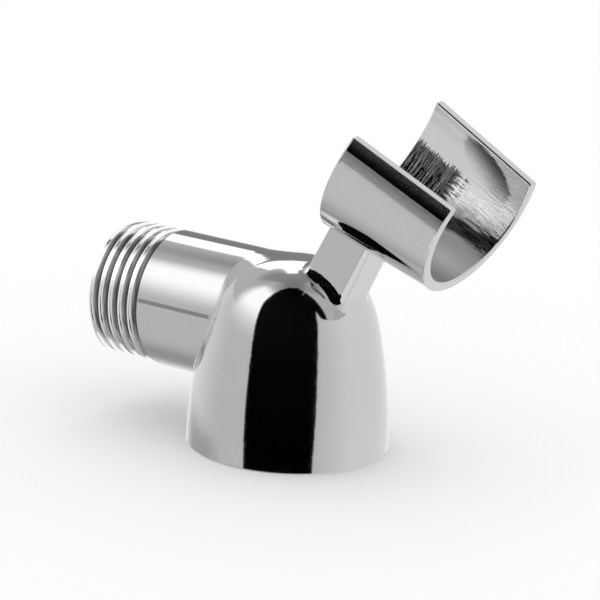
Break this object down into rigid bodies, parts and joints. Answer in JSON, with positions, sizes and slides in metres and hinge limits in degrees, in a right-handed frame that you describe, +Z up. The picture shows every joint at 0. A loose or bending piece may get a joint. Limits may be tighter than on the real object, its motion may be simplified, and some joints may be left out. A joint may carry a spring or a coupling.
{
  "type": "hand shower holder",
  "caption": "Chrome-plated brass fitting: a bell tapped from below, a threaded hose spigot on its side and a tilted, open-topped conical cradle that holds a hand shower.",
  "frame": {"origin": "centre of the bell's rim, in the plane of the rim", "axes": "+Z up along the bell's axis, +X towards the cradle's narrow end and away from the spigot, Y across the cradle's mouth"},
  "size_m": [0.0639, 0.0304, 0.0528],
  "materials": {
    "chrome_plate": "bright chrome plate on polished cast brass, left less polished inside the cradle"
  },
  "bodies": {
    "root": {"holder_body": "chrome_plate"}
  },
  "joints": []
}
